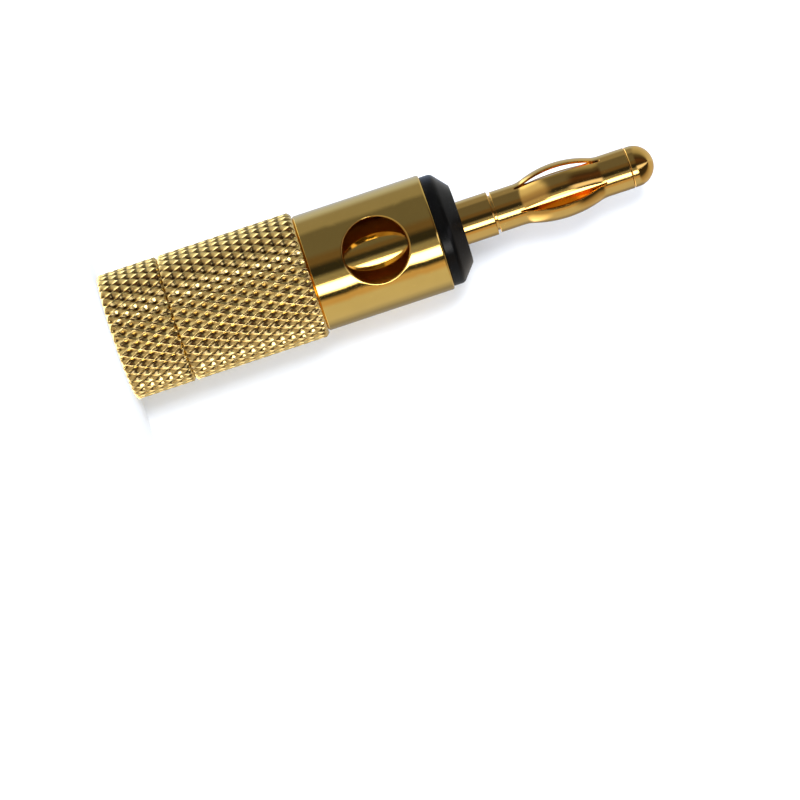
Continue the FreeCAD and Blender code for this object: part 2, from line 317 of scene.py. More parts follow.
hole_rows = [HOLE_HEIGHT + WINDOW_HALF * (step / WINDOW_STEPS - 1)
             for step in range(2 * WINDOW_STEPS + 1)]
barrel_path = rounded_outline([
    (BARREL_BORE, TAIL_REAR, 0.05),
    (TAIL_ROOT, TAIL_REAR, 0.08),
    (TAIL_ROOT, BARREL_REAR),
    (BARREL_RADIUS - REAR_CHAMFER, BARREL_REAR, 0.03),
    (BARREL_RADIUS, BARREL_REAR + REAR_CHAMFER, 0.06),
    *[(BARREL_RADIUS, height) for height in hole_rows],
    (BARREL_RADIUS, BARREL_FRONT, 0.14),
    (NOSE_RADIUS, BARREL_FRONT),
    (NOSE_RADIUS, NOSE_FRONT, 0.06),
    (STEM_HOLE, NOSE_FRONT),
    (STEM_HOLE, BORE_FLOOR, 0.03),
    (BARREL_BORE, BORE_FLOOR),
    *[(BARREL_BORE, height) for height in reversed(hole_rows)],
])
barrel_mesh, barrel_rows = turned(barrel_path)
outer_start = next(i for i, (r, z) in enumerate(barrel_path)
                   if abs(r - BARREL_RADIUS) < 1e-6 and abs(z - hole_rows[0]) < 1e-6)
bore_start = next(i for i, (r, z) in enumerate(barrel_path)
                  if abs(r - BARREL_BORE) < 1e-6 and abs(z - hole_rows[-1]) < 1e-6)
count = len(hole_rows)
drill_side_hole(
    barrel_mesh,
    barrel_rows[outer_start:outer_start + count],
    barrel_rows[bore_start:bore_start + count][::-1],
)

polished_gold = plated_gold(
    "polished_gold_plate", BARREL_GOLD, roughness=0.08, spread=0.05,
    grain=(5, 5, 2.5), lines=(0.3, 0.3, 14), bump=0.0012)
# Painted warm shade and bounce light: the bore, its floor and the hole's inner edge turn a duller
# orange, half metal.
paint_shade_inside(
    polished_gold, BARREL_BORE + 0.02, BARREL_BORE + 0.12, BARREL_REAR, BORE_FLOOR + 0.5,
    BORE_PAINTED_SHADE, metallic=0.5)
barrel = make_piece("barrel_shell", barrel_mesh, polished_gold)
settle(barrel, "barrel", "barrel")


# Thread on the barrel's tail
# A fine thread cut on the tail, under the clamp screw's skirt. It shows once the screw is
# backed off to let a wire in.

TAIL_PITCH = 0.65
THREAD_FLANK, THREAD_SINK, THREAD_SHARP = 0.42, 0.01, math.radians(20)


def shape_tree(name, inputs):
    """Geometry node tree with named inputs, its group input and its group output."""
    tree = bpy.data.node_groups.new(name, "GeometryNodeTree")
    tree.interface.new_socket("Geometry", in_out="INPUT", socket_type="NodeSocketGeometry")
    for label, kind in inputs.items():
        tree.interface.new_socket(label, in_out="INPUT", socket_type=kind)
    tree.interface.new_socket("Geometry", in_out="OUTPUT", socket_type="NodeSocketGeometry")
    given = node_in(tree, "NodeGroupInput")
    return tree, given, node_in(tree, "NodeGroupOutput")


def grown(tree, name, values):
    """Plain mesh that the tree makes from the given inputs."""
    seed = bpy.data.objects.new(name, bpy.data.meshes.new(name))
    bpy.context.scene.collection.objects.link(seed)
    modifier = seed.modifiers.new(name, "NODES")
    modifier.node_group = tree
    for item in tree.interface.items_tree:
        if item.in_out == "INPUT" and item.name in values:
            modifier[item.identifier] = values[item.name]
    depsgraph = bpy.context.evaluated_depsgraph_get()
    mesh = bpy.data.meshes.new_from_object(seed.evaluated_get(depsgraph))
    seed.modifiers.remove(modifier)
    bpy.data.objects.remove(seed)
    return mesh


def place_parts(tree):
    """X, Y and Z of each point of the shape so far."""
    position = node_in(tree, "GeometryNodeInputPosition")
    parts = node_in(tree, "ShaderNodeSeparateXYZ")
    link(tree, position.outputs[0], parts.inputs[0])
    return [Sum(tree, output) for output in parts.outputs]


def moved_round_axis(tree, geometry, radius, angle, height):
    """Every point set by its radius, its angle about the axis and its height."""
    place = node_in(tree, "ShaderNodeCombineXYZ")
    link(tree, radius * angle.step("COSINE"), place.inputs["X"])
    link(tree, radius * angle.step("SINE"), place.inputs["Y"])
    link(tree, height, place.inputs["Z"])
    mover = node_in(tree, "GeometryNodeSetPosition")
    link(tree, geometry, mover.inputs["Geometry"])
    link(tree, place.outputs[0], mover.inputs["Position"])
    return mover.outputs[0]


def close_tree(tree, geometry, gap, material_socket, output):
    """Merges what meets, makes instances real and sets the material."""
    merge = node_in(tree, "GeometryNodeMergeByDistance")
    merge.inputs["Distance"].default_value = gap
    real = node_in(tree, "GeometryNodeRealizeInstances")
    paint = node_in(tree, "GeometryNodeSetMaterial")
    link(tree, geometry, merge.inputs["Geometry"])
    link(tree, merge.outputs[0], real.inputs[0])
    link(tree, real.outputs[0], paint.inputs["Geometry"])
    link(tree, material_socket, paint.inputs["Material"])
    link(tree, paint.outputs[0], output.inputs[0])


def thread_tree():
    """A three-sided ridge wound along a helix, fading in and out over half a turn."""
    tree, given, output = shape_tree("thread", {
        "Root": "NodeSocketFloat",
        "Crest": "NodeSocketFloat",
        "Rear": "NodeSocketFloat",
        "Pitch": "NodeSocketFloat",
        "Turns": "NodeSocketFloat",
        "Material": "NodeSocketMaterial",
    })
    sizes = {name: Sum(tree, given.outputs[name])
             for name in ("Root", "Crest", "Rear", "Pitch", "Turns")}
    strip = node_in(tree, "GeometryNodeMeshGrid")
    strip.inputs["Size X"].default_value = 1.0
    strip.inputs["Size Y"].default_value = 3.0
    strip.inputs["Vertices X"].default_value = 641
    strip.inputs["Vertices Y"].default_value = 4
    along, across, _ = place_parts(tree)
    turn = (along + 0.5) * sizes["Turns"]
    corner = (across + 1.5).step("ROUND").step("MODULO", 3.0)
    rise = ((corner - 1.0).step("ABSOLUTE") * -1.0 + 1.0).step("MAXIMUM", 0.0)
    fade = turn.step("MINIMUM", sizes["Turns"] - turn) * 2.0
    rise = rise * fade.step("MAXIMUM", 0.0).step("MINIMUM", 1.0)
    crest_over_root = sizes["Crest"] - sizes["Root"] + THREAD_SINK
    radius = sizes["Root"] - THREAD_SINK + crest_over_root * rise
    height = sizes["Rear"] + sizes["Pitch"] * (turn + (corner - 1.0) * THREAD_FLANK)
    shape = moved_round_axis(tree, strip.outputs["Mesh"], radius, turn * (2 * math.pi), height)
    close_tree(tree, shape, 0.0005, given.outputs["Material"], output)
    return tree


thread_shape = thread_tree()


def thread_mesh(name, root, crest, rear, front, pitch, material):
    """Bmesh of one thread between two heights."""
    turns = (front - rear) / pitch - 1
    mesh = grown(thread_shape, name, {
        "Root": root, "Crest": crest, "Rear": rear + pitch / 2, "Pitch": pitch,
        "Turns": turns, "Material": material})
    bm = bmesh.new()
    bm.from_mesh(mesh)
    bpy.data.meshes.remove(mesh)
    return bm


tail_thread = make_piece("barrel_tail_thread", thread_mesh(
    "barrel_tail_thread", TAIL_ROOT, TAIL_CREST, TAIL_REAR + 0.05, BARREL_REAR - 0.1,
    TAIL_PITCH, polished_gold), polished_gold, THREAD_SHARP)
settle(tail_thread, "barrel", "barrel")


# Marker ring
# A moulded ring of semi-gloss black plastic, coned towards the pin and pressed over the
# barrel's nose. It marks which of the two poles the plug is for.

RING_REAR, RING_FRONT, RING_CONE = 25.8, 27.8, 26.7
RING_RADIUS, RING_LIP, RING_BORE = 4.375, 3.075, 2.71


def moulded_black():
    """Black plastic with a soft skin: fine moulding grain and a few rubbed patches."""
    material = bpy.data.materials.new("moulded_black_plastic")
    material.use_nodes = True
    tree = material.node_tree
    shader = tree.nodes["Principled BSDF"]
    shader.inputs["Specular IOR Level"].default_value = 0.14
    place = node_in(tree, "ShaderNodeTexCoord")
    cloud = noise_in(tree, place, (0.5, 0.5, 0.5), 3.0)
    grain = noise_in(tree, place, (9, 9, 9), 2.0)
    link(tree, shade_between(tree, cloud, (0.0015, 0.0015, 0.0017), (0.003, 0.003, 0.003)),
         shader.inputs["Base Color"])
    link(tree, cloud * 0.12 + 0.17, shader.inputs["Roughness"])
    relief = node_in(tree, "ShaderNodeBump")
    relief.inputs["Strength"].default_value = 1.0
    relief.inputs["Distance"].default_value = 0.004 * MM
    link(tree, grain, relief.inputs["Height"])
    link(tree, relief.outputs["Normal"], shader.inputs["Normal"])
    return material


black_plastic = moulded_black()
ring_mesh, _ = turned(rounded_outline([
    (RING_BORE, RING_REAR),
    (RING_RADIUS, RING_REAR, 0.1),
    (RING_RADIUS, RING_CONE, 0.5),
    (RING_LIP, RING_FRONT, 0.16),
    (RING_BORE, RING_FRONT, 0.05),
]))
ring = make_piece("marker_ring", ring_mesh, black_plastic)
settle(ring, "barrel", "color_ring")


# Contact pin
# Shaft, core and domed head turned in one piece from brass and gold plated. Its stem is
# pressed into the barrel's nose, and the spring cage is held between the shaft and the head.

STEM_RADIUS, SHAFT_RADIUS, CORE_RADIUS, HEAD_RADIUS = 1.3, 1.715, 1.38, 1.6
SHAFT_FRONT, HEAD_REAR, DOME_CENTRE = 30.35, 41.37, 41.72
# Gold for the pin and the cage, darker and redder than the barrel's: painted shade and warm
# reflection.
PIN_GOLD_WITH_PAINTED_SHADE = (0.90, 0.57, 0.16)

dome = []
for step in range(25):
    lean = math.radians(90 * step / 24)
    dome.append((HEAD_RADIUS * math.cos(lean), DOME_CENTRE + HEAD_RADIUS * math.sin(lean)))
dome[-1] = (0, DOME_CENTRE + HEAD_RADIUS)
pin_mesh, _ = turned(rounded_outline([
    (0, BORE_FLOOR),
    (STEM_RADIUS, BORE_FLOOR, 0.05),
    (STEM_RADIUS, NOSE_FRONT),
    (SHAFT_RADIUS, NOSE_FRONT, 0.05),
    (SHAFT_RADIUS, SHAFT_FRONT, 0.07),
    (CORE_RADIUS, SHAFT_FRONT, 0.03),
    (CORE_RADIUS, HEAD_REAR, 0.03),
    (HEAD_RADIUS, HEAD_REAR, 0.1),
    *dome,
]), 128)
pin_gold = plated_gold(
    "turned_pin_gold", PIN_GOLD_WITH_PAINTED_SHADE, roughness=0.09, spread=0.06,
    grain=(6, 6, 4), lines=(0.5, 0.5, 16), bump=0.0011)
pin = make_piece("contact_pin_turned", pin_mesh, pin_gold)
settle(pin, "barrel", "contact_pin")


# Spring cage
# Thin spring bronze, slit into five leaves, rolled round the pin's core and bulged in the
# middle, then gold plated. Its rolled edges meet at a narrow seam, and it turns freely.

CAGE_REAR, CAGE_LENGTH = 30.55, 10.8
BULGE_MIDDLE, BULGE_HALF, BULGE_RISE, BULGE_BLEND = 35.85, 3.45, 0.62, 2.2
CAGE_RADIUS, SHEET = 1.62, 0.2
LEAVES, SLIT, SEAM, SEAM_ANGLE = 5, 0.22, 0.12, math.radians(77)
SEAM_REACH = 0.4


def cage_tree():
    """One leaf with its share of both collars, repeated round the axis."""
    tree, given, output = shape_tree("spring_cage", {
        "Leaves": "NodeSocketInt",
        "Radius": "NodeSocketFloat",
        "Rear": "NodeSocketFloat",
        "Length": "NodeSocketFloat",
        "Middle": "NodeSocketFloat",
        "Half": "NodeSocketFloat",
        "Rise": "NodeSocketFloat",
        "Blend": "NodeSocketFloat",
        "Slit": "NodeSocketFloat",
        "First": "NodeSocketFloat",
        "Material": "NodeSocketMaterial",
    })
    sizes = {socket.name: Sum(tree, socket) for socket in given.outputs if socket.name}
    strip = node_in(tree, "GeometryNodeMeshGrid")
    strip.inputs["Size X"].default_value = 2.0
    strip.inputs["Size Y"].default_value = 1.0
    strip.inputs["Vertices X"].default_value = 17
    strip.inputs["Vertices Y"].default_value = 136
    across, along, _ = place_parts(tree)
    height = sizes["Rear"] + (along + 0.5) * sizes["Length"]
    off = (height - sizes["Middle"]).step("ABSOLUTE")
    half, rise, blend = sizes["Half"], sizes["Rise"], sizes["Blend"]
    span = half * half + rise * rise
    crown = span / (rise * 2.0) - blend
    reach = crown * half * rise * 2.0 / span
    on_crown = off.step("LESS_THAN", reach)
    crown_rise = rise - crown + (crown * crown - off * off).step("MAXIMUM", 0.0).step("SQRT")
    to_end = (half - off).step("MAXIMUM", 0.0)
    blend_rise = blend - (blend * blend - to_end * to_end).step("MAXIMUM", 0.0).step("SQRT")
    bulge = blend_rise + (crown_rise - blend_rise) * on_crown
    share = sizes["Leaves"].step("POWER", -1.0) * math.pi
    slit_share = off.step("LESS_THAN", half) * sizes["Slit"] / (sizes["Radius"] * 2.0)
    turn = across * (share - slit_share)
    spot = node_in(tree, "ShaderNodeCombineXYZ")
    link(tree, sizes["Radius"] * turn.step("COSINE") + bulge, spot.inputs["X"])
    link(tree, sizes["Radius"] * turn.step("SINE"), spot.inputs["Y"])
    link(tree, height, spot.inputs["Z"])
    bent = node_in(tree, "GeometryNodeSetPosition")
    link(tree, strip.outputs["Mesh"], bent.inputs["Geometry"])
    link(tree, spot.outputs[0], bent.inputs["Position"])
    leaf = bent.outputs[0]
    points = node_in(tree, "GeometryNodePoints")
    link(tree, given.outputs["Leaves"], points.inputs["Count"])
    index = Sum(tree, node_in(tree, "GeometryNodeInputIndex").outputs[0])
    turn = node_in(tree, "ShaderNodeCombineXYZ")
    link(tree, (index * 2.0 + 1.0) * share + sizes["First"], turn.inputs["Z"])
    ring_of_leaves = node_in(tree, "GeometryNodeInstanceOnPoints")
    link(tree, points.outputs[0], ring_of_leaves.inputs["Points"])
    link(tree, leaf, ring_of_leaves.inputs["Instance"])
    link(tree, turn.outputs[0], ring_of_leaves.inputs["Rotation"])
    real = node_in(tree, "GeometryNodeRealizeInstances")
    link(tree, ring_of_leaves.outputs[0], real.inputs[0])
    close_tree(tree, real.outputs[0], 0.002, given.outputs["Material"], output)
    return tree


cage_gold = plated_gold(
    "rolled_spring_gold", PIN_GOLD_WITH_PAINTED_SHADE, roughness=0.11, spread=0.08,
    grain=(7, 7, 1.2), lines=(2.5, 2.5, 0.4), bump=0.0014)
cage_sheet = grown(cage_tree(), "cage_sheet", {
    "Leaves": LEAVES, "Radius": CAGE_RADIUS, "Rear": CAGE_REAR, "Length": CAGE_LENGTH,
    "Middle": BULGE_MIDDLE, "Half": BULGE_HALF, "Rise": BULGE_RISE, "Blend": BULGE_BLEND,
    "Slit": SLIT, "First": SEAM_ANGLE, "Material": cage_gold})
cage_mesh = bmesh.new()
cage_mesh.from_mesh(cage_sheet)
bpy.data.meshes.remove(cage_sheet)
seam_way = Vector((math.cos(SEAM_ANGLE), math.sin(SEAM_ANGLE), 0))
seam_side = Vector((-seam_way.y, seam_way.x, 0))
for side in (1, -1):
    near = [face for face in cage_mesh.faces
            if face.calc_center_median().dot(seam_way) > 0
            and abs(face.calc_center_median().dot(seam_side)) < SEAM_REACH]
    near_seam = set(near)
    for face in near:
        near_seam.update(face.edges)
        near_seam.update(face.verts)
    bmesh.ops.bisect_plane(
        cage_mesh, geom=list(near_seam), plane_co=seam_side * (side * SEAM / 2),
        plane_no=seam_side)
strip_faces = [face for face in cage_mesh.faces
               if face.calc_center_median().dot(seam_way) > 0
               and abs(face.calc_center_median().dot(seam_side)) < SEAM / 2]
bmesh.ops.delete(cage_mesh, geom=strip_faces, context="FACES")
for face in cage_mesh.faces:
    outward = face.calc_center_median()
    outward.z = 0
    if face.normal.dot(outward) < 0:
        face.normal_flip()
outer_faces = list(cage_mesh.faces)
rims = [edge for edge in cage_mesh.edges if len(edge.link_faces) == 1]
inside_of = {}
for vert in list(cage_mesh.verts):
    distance = math.hypot(vert.co.x, vert.co.y)
    shrink = (distance - SHEET) / distance
    inside_of[vert] = cage_mesh.verts.new((vert.co.x * shrink, vert.co.y * shrink, vert.co.z))
for face in outer_faces:
    cage_mesh.faces.new([inside_of[vert] for vert in reversed(face.verts)])
for edge in rims:
    first, second = edge.verts
    cage_mesh.faces.new((first, second, inside_of[second], inside_of[first]))
cage = make_piece("spring_cage_rolled", cage_mesh, cage_gold, math.radians(50))
worn_edge = cage.modifiers.new("worn_edge", "BEVEL")
worn_edge.width = 0.03 * MM
worn_edge.segments = 2
worn_edge.limit_method = "ANGLE"
worn_edge.angle_limit = math.radians(50)
settle(cage, "spring_cage", "spring_cage")


# Clamp screw
# One turned brass piece: a knurled sleeve with a threaded skirt, a smooth plunger in front that
# clamps the wire behind the side hole, and a hollow threaded stub behind. Rolled diamond knurl.

KNURL_RADIUS, KNURL_DEPTH, KNURL_COUNT, KNURL_ROW = 5.0, 0.25, 40, 0.78
KNURL_BACK, KNURL_SHARP, KNURL_WANDER = 4.5, math.radians(60), 0.12
# Shares of the knurl's depth: deeper than the first, the painted pit shade is full; shallower
# than the second, there is none.
PIT_PAINTED_SHADE_FULL, PIT_PAINTED_SHADE_NONE = 0.92, 0.54
SCREW_REAR, SCREW_FRONT, SCREW_REAR_BREAK, SCREW_FRONT_BREAK = 4.8, 15.6, 0.15, 0.28
SKIRT_BORE, SKIRT_FLOOR = 4.13, 9.2
PLUNGER_RADIUS, PLUNGER_FRONT = 2.45, 24.1
STUB_ROOT, STUB_CREST, STUB_REAR = 3.56, 3.7, 1.9
WIRE_RADIUS, WIRE_FLOOR = 1.5, 7.9
STUB_PITCH = 0.6


def knurl_cell():
    """One pit of the knurl, with half of the ridges round it.

    It is one knurl pitch wide, two rows long and one high. The ridges sag a little between
    their crossings, and the pit rounds off towards its floor.
    """
    bm = bmesh.new()
    corners = 16
    levels = ((0.08, 0.02, 1.0), (0.20, 0.12, 0.95), (0.34, 0.31, 0.6), (0.60, 0.62, 0.2),
              (0.86, 0.91, 0.1), (0.95, 0.985, 0.03), (1.0, 1.0, 0.0))
    sag = 0.14
    rings = []
    for reach, height, roundness in levels:
        ring = []
        for corner in range(corners):
            angle = 2 * math.pi * corner / corners
            x, y = math.cos(angle), math.sin(angle)
            pull = roundness + (1 - roundness) / (abs(x) + abs(y))
            low = sag * reach * (1 - abs(math.cos(2 * angle)))
            ring.append(bm.verts.new((x * pull * reach / 2, y * pull * reach, height - low)))
        rings.append(ring)
    floor = bm.verts.new((0, 0, 0))
    for corner, vert in enumerate(rings[0]):
        bm.faces.new((floor, vert, rings[0][(corner + 1) % corners]))
    for inner, outer in zip(rings, rings[1:]):
        for corner, vert in enumerate(inner):
            following = (corner + 1) % corners
            bm.faces.new((vert, inner[following], outer[following], outer[corner]))
    mesh = bpy.data.meshes.new("knurl_cell")
    bmesh.ops.recalc_face_normals(bm, faces=bm.faces)
    bm.to_mesh(mesh)
    bm.free()
    cell = bpy.data.objects.new("knurl_cell", mesh)
    bpy.context.scene.collection.objects.link(cell)
    return cell


def knurl_tree():
    """Cells set in staggered rows, wrapped round the axis and turned down at both ends."""
    tree, given, output = shape_tree("diamond_knurl", {
        "Cell": "NodeSocketObject",
        "Count": "NodeSocketInt",
        "Rows": "NodeSocketInt",
        "Row height": "NodeSocketFloat",
        "Root": "NodeSocketFloat",
        "Depth": "NodeSocketFloat",
        "Rear": "NodeSocketFloat",
        "Rear break": "NodeSocketFloat",
        "Front": "NodeSocketFloat",
        "Front break": "NodeSocketFloat",
        "Unevenness": "NodeSocketFloat",
        "Seed": "NodeSocketInt",
        "Material": "NodeSocketMaterial",
    })
    sizes = {socket.name: Sum(tree, socket) for socket in given.outputs if socket.name}
    index = Sum(tree, node_in(tree, "GeometryNodeInputIndex").outputs[0])
    row = (index / sizes["Count"] + 0.0001).step("FLOOR")
    column = index - row * sizes["Count"]
    stagger = row.step("FLOORED_MODULO", 2.0) * 0.5
    spot = node_in(tree, "ShaderNodeCombineXYZ")
    link(tree, column - stagger, spot.inputs["X"])
    link(tree, row - 1.0, spot.inputs["Y"])
    points = node_in(tree, "GeometryNodePoints")
    link(tree, (sizes["Rows"] + 3.0) * sizes["Count"], points.inputs["Count"])
    link(tree, spot.outputs[0], points.inputs["Position"])
    cell = node_in(tree, "GeometryNodeObjectInfo")
    link(tree, given.outputs["Cell"], cell.inputs["Object"])
    cells = node_in(tree, "GeometryNodeInstanceOnPoints")
    link(tree, points.outputs[0], cells.inputs["Points"])
    link(tree, cell.outputs["Geometry"], cells.inputs["Instance"])
    real = node_in(tree, "GeometryNodeRealizeInstances")
    link(tree, cells.outputs[0], real.inputs[0])

    across, along, rise = place_parts(tree)
    position = node_in(tree, "GeometryNodeInputPosition")
    wander = node_in(tree, "ShaderNodeTexNoise", noise_dimensions="4D")
    wander.inputs["Scale"].default_value = 1.7
    wander.inputs["Detail"].default_value = 1.0
    link(tree, position.outputs[0], wander.inputs["Vector"])
    link(tree, sizes["Seed"], wander.inputs["W"])
    sideways = node_in(tree, "ShaderNodeSeparateXYZ")
    link(tree, wander.outputs["Color"], sideways.inputs[0])
    drift = [(Sum(tree, channel) - 0.5) * sizes["Unevenness"] * rise
             for channel in sideways.outputs]
    height = sizes["Rear"] + sizes["Rear break"] + (along + drift[1]) * sizes["Row height"]
    angle = (across + drift[0]) * (2 * math.pi) / sizes["Count"]
    relief = sizes["Depth"] * (rise + drift[2] * 0.5).step("MINIMUM", 1.0)
    from_rear = (height - sizes["Rear"]) / sizes["Rear break"]
    from_front = (sizes["Front"] - height) / sizes["Front break"]
    allowed = from_rear.step("MINIMUM", from_front) * sizes["Depth"]
    radius = sizes["Root"] + relief.step("MINIMUM", allowed)
    wrapped = moved_round_axis(tree, real.outputs[0], radius, angle, height)
    close_tree(tree, wrapped, 0.004, given.outputs["Material"], output)
    return tree


cell_shape = knurl_cell()
knurl_shape = knurl_tree()


def in_place_order(point):
    """One number, by height, then X, then Y, that gives every run the same order."""
    grain, span = 2e-4, 100000
    z, x, y = (round((part + 2 * KNURL_RADIUS) / grain) for part in (point.z, point.x, point.y))
    return float((z * span + x) * span + y)


def knurled_band(name, rear, rear_break, front, front_break, seed, material):
    """Closed knurled tube between two heights, from the rolled cells to its plain back."""
    span = front - front_break - rear - rear_break
    rows = round(span / KNURL_ROW)
    mesh = grown(knurl_shape, name, {
        "Cell": cell_shape, "Count": KNURL_COUNT, "Rows": rows, "Row height": span / rows,
        "Root": KNURL_RADIUS - KNURL_DEPTH, "Depth": KNURL_DEPTH, "Rear": rear,
        "Rear break": rear_break, "Front": front, "Front break": front_break,
        "Unevenness": KNURL_WANDER, "Seed": seed, "Material": material})
    bm = bmesh.new()
    bm.from_mesh(mesh)
    bpy.data.meshes.remove(mesh)
    backs = []
    for height, way in ((rear, -1), (front, 1)):
        bmesh.ops.bisect_plane(
            bm, geom=bm.verts[:] + bm.edges[:] + bm.faces[:], dist=1e-5,
            plane_co=(0, 0, height), plane_no=(0, 0, way), clear_outer=True)
        border = [edge for edge in bm.edges if len(edge.link_faces) == 1
                  and all(abs(vert.co.z - height) < 1e-4 for vert in edge.verts)]
        made = bmesh.ops.extrude_edge_only(bm, edges=border)["geom"]
        for part in made:
            if isinstance(part, bmesh.types.BMVert):
                shrink = KNURL_BACK / math.hypot(part.co.x, part.co.y)
                part.co = (part.co.x * shrink, part.co.y * shrink, height)
        backs += [part for part in made if isinstance(part, bmesh.types.BMEdge)
                  and len(part.link_faces) == 1]
    bmesh.ops.bridge_loops(bm, edges=backs)
    bm.verts.sort(key=lambda vert: in_place_order(vert.co))
    bm.faces.sort(key=lambda face: in_place_order(face.calc_center_median()))
    return bm


def knurled_gold(name, rear, front):
    """Softer gold plate for a rolled band, with painted shade in the pits between two heights."""
    material = plated_gold(
        name, (0.97, 0.74, 0.30), roughness=0.19, spread=0.12,
        grain=(9, 9, 9), lines=(3, 3, 3), bump=0.003)
    # Painted shade: the knurl's pits turn dark brown by their depth.
    paint_shade_inside(
        material, KNURL_RADIUS - KNURL_DEPTH * PIT_PAINTED_SHADE_FULL,
        KNURL_RADIUS - KNURL_DEPTH * PIT_PAINTED_SHADE_NONE,
        rear, front, (0.10, 0.05, 0.015), metallic=1.0)
    return material


knurl_gold = knurled_gold("knurled_gold_plate", SCREW_REAR - 0.1, SCREW_FRONT - 0.3)
sleeve = make_piece("clamp_screw_knurl", knurled_band(
    "clamp_screw_knurl", SCREW_REAR, SCREW_REAR_BREAK, SCREW_FRONT, SCREW_FRONT_BREAK, 3,
    knurl_gold), knurl_gold, KNURL_SHARP)
settle(sleeve, "clamp_screw", "clamp_screw")

post_mesh, _ = turned(rounded_outline([
    (0, PLUNGER_FRONT),
    (PLUNGER_RADIUS, PLUNGER_FRONT, 0.3),
    (PLUNGER_RADIUS, SKIRT_FLOOR),
    (SKIRT_BORE, SKIRT_FLOOR),
    (SKIRT_BORE, SCREW_FRONT - 0.2, 0.04),
    (SKIRT_BORE + 0.2, SCREW_FRONT, 0.04),
    (KNURL_BACK, SCREW_FRONT),
    (KNURL_BACK, SCREW_REAR),
    (STUB_ROOT, SCREW_REAR),
    (STUB_ROOT, STUB_REAR + 0.25, 0.04),
    (STUB_ROOT - 0.25, STUB_REAR, 0.04),
    (WIRE_RADIUS, STUB_REAR, 0.06),
    (WIRE_RADIUS, WIRE_FLOOR),
    (0, WIRE_FLOOR + WIRE_RADIUS / 2),
]))
post_gold = plated_gold(
    "plunger_gold_plate", BARREL_GOLD, roughness=0.12, spread=0.06,
    grain=(5, 5, 2.5), lines=(0.3, 0.3, 14), bump=0.0012)
post = make_piece("clamp_screw_post", post_mesh, post_gold)
settle(post, "clamp_screw", "clamp_screw")

stub_thread = make_piece("clamp_screw_stub_thread", thread_mesh(
    "clamp_screw_stub_thread", STUB_ROOT, STUB_CREST, STUB_REAR + 0.15, SCREW_REAR - 0.05,
    STUB_PITCH, post_gold), post_gold, THREAD_SHARP)
settle(stub_thread, "clamp_screw", "clamp_screw")


# End cap
# A short knurled nut on the clamp screw's stub, rolled with the same diamonds. Its flat rear
# face is faced off smooth, with a countersunk hole for the wire in the middle.

CAP_FRONT, CAP_FLOOR, CAP_BORE, CAP_BREAK = 4.8, 1.6, 3.73, 0.15
SINK_WIDTH = 0.65

cap_knurl_gold = knurled_gold("knurled_cap_gold_plate", 0.05, CAP_FRONT - 0.03)
cap_knurl = make_piece("end_cap_knurl", knurled_band(
    "end_cap_knurl", 0.0, CAP_BREAK, CAP_FRONT, CAP_BREAK, 8, cap_knurl_gold),
    cap_knurl_gold, KNURL_SHARP)
settle(cap_knurl, "end_cap", "end_cap")

faced_gold = plated_gold(
    "faced_gold_plate", BARREL_GOLD, roughness=0.2, spread=0.12,
    grain=(8, 8, 8), lines=(2, 2, 2), bump=0.002)
cap_mesh, _ = turned(rounded_outline([
    (WIRE_RADIUS + SINK_WIDTH, 0, 0.04),
    (KNURL_BACK, 0),
    (KNURL_BACK, CAP_FRONT),
    (CAP_BORE + 0.2, CAP_FRONT, 0.03),
    (CAP_BORE, CAP_FRONT - 0.2, 0.03),
    (CAP_BORE, CAP_FLOOR),
    (WIRE_RADIUS, CAP_FLOOR, 0.04),
    (WIRE_RADIUS, SINK_WIDTH, 0.04),
]))
cap = make_piece("end_cap_body", cap_mesh, faced_gold)
settle(cap, "end_cap", "end_cap")
bpy.data.objects.remove(cell_shape)


# Floor and backdrop
# The plug stands on a plain pale floor, which stays under the end cap as that backs off. A plain
# pale sheet just behind takes its soft shadow, and is clear from behind, to show every side.

def pale_sheet(name, corners, see_through_back):
    mesh = bpy.data.meshes.new(name)
    mesh.from_pydata(corners, [], [(0, 1, 2, 3)])
    sheet = bpy.data.objects.new(name, mesh)
    bpy.context.scene.collection.objects.link(sheet)
    material = bpy.data.materials.new(name)
    material.use_nodes = True
    tree = material.node_tree
    shader = tree.nodes["Principled BSDF"]
    shader.inputs["Base Color"].default_value = (0.86, 0.90, 0.96, 1)
    shader.inputs["Roughness"].default_value = 0.9
    shader.inputs["Specular IOR Level"].default_value = 0.0
    if see_through_back:
        side = node_in(tree, "ShaderNodeNewGeometry")
        clear = node_in(tree, "ShaderNodeBsdfTransparent")
        either = node_in(tree, "ShaderNodeMixShader")
        link(tree, side.outputs["Backfacing"], either.inputs[0])
        link(tree, shader.outputs[0], either.inputs[1])
        link(tree, clear.outputs[0], either.inputs[2])
        link(tree, either.outputs[0], tree.nodes["Material Output"].inputs["Surface"])
    mesh.materials.append(material)
    sheet.visible_glossy = False
    return sheet


BACKDROP, BACKDROP_FOOT = 5.06 * MM, -20 * MM
floor = pale_sheet("pale_floor", [(-2, -2, 0), (2, -2, 0), (2, 2, 0), (-2, 2, 0)], False)
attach(floor, "end_cap")
pale_sheet("pale_backdrop", [
    (-2, BACKDROP, BACKDROP_FOOT), (2, BACKDROP, BACKDROP_FOOT),
    (2, BACKDROP, 2), (-2, BACKDROP, 2)], True)


# Studio light
# White light from all round, one large soft lamp in front, set high as the photograph lies, and
# the strips and flags that the polished plate shows, each at its bearing about the plug's axis.

WHITE, COOL, WARM = (1, 1, 1), (0.85, 1, 1.3), (1, 0.75, 0.5)
BLACK, DIM, SOFT, PALE, STRIP = 0.03, 0.15, 0.3, 0.6, 6.0
TIP_FADE, REAR_FADE = (8, 20), (-7, -17)

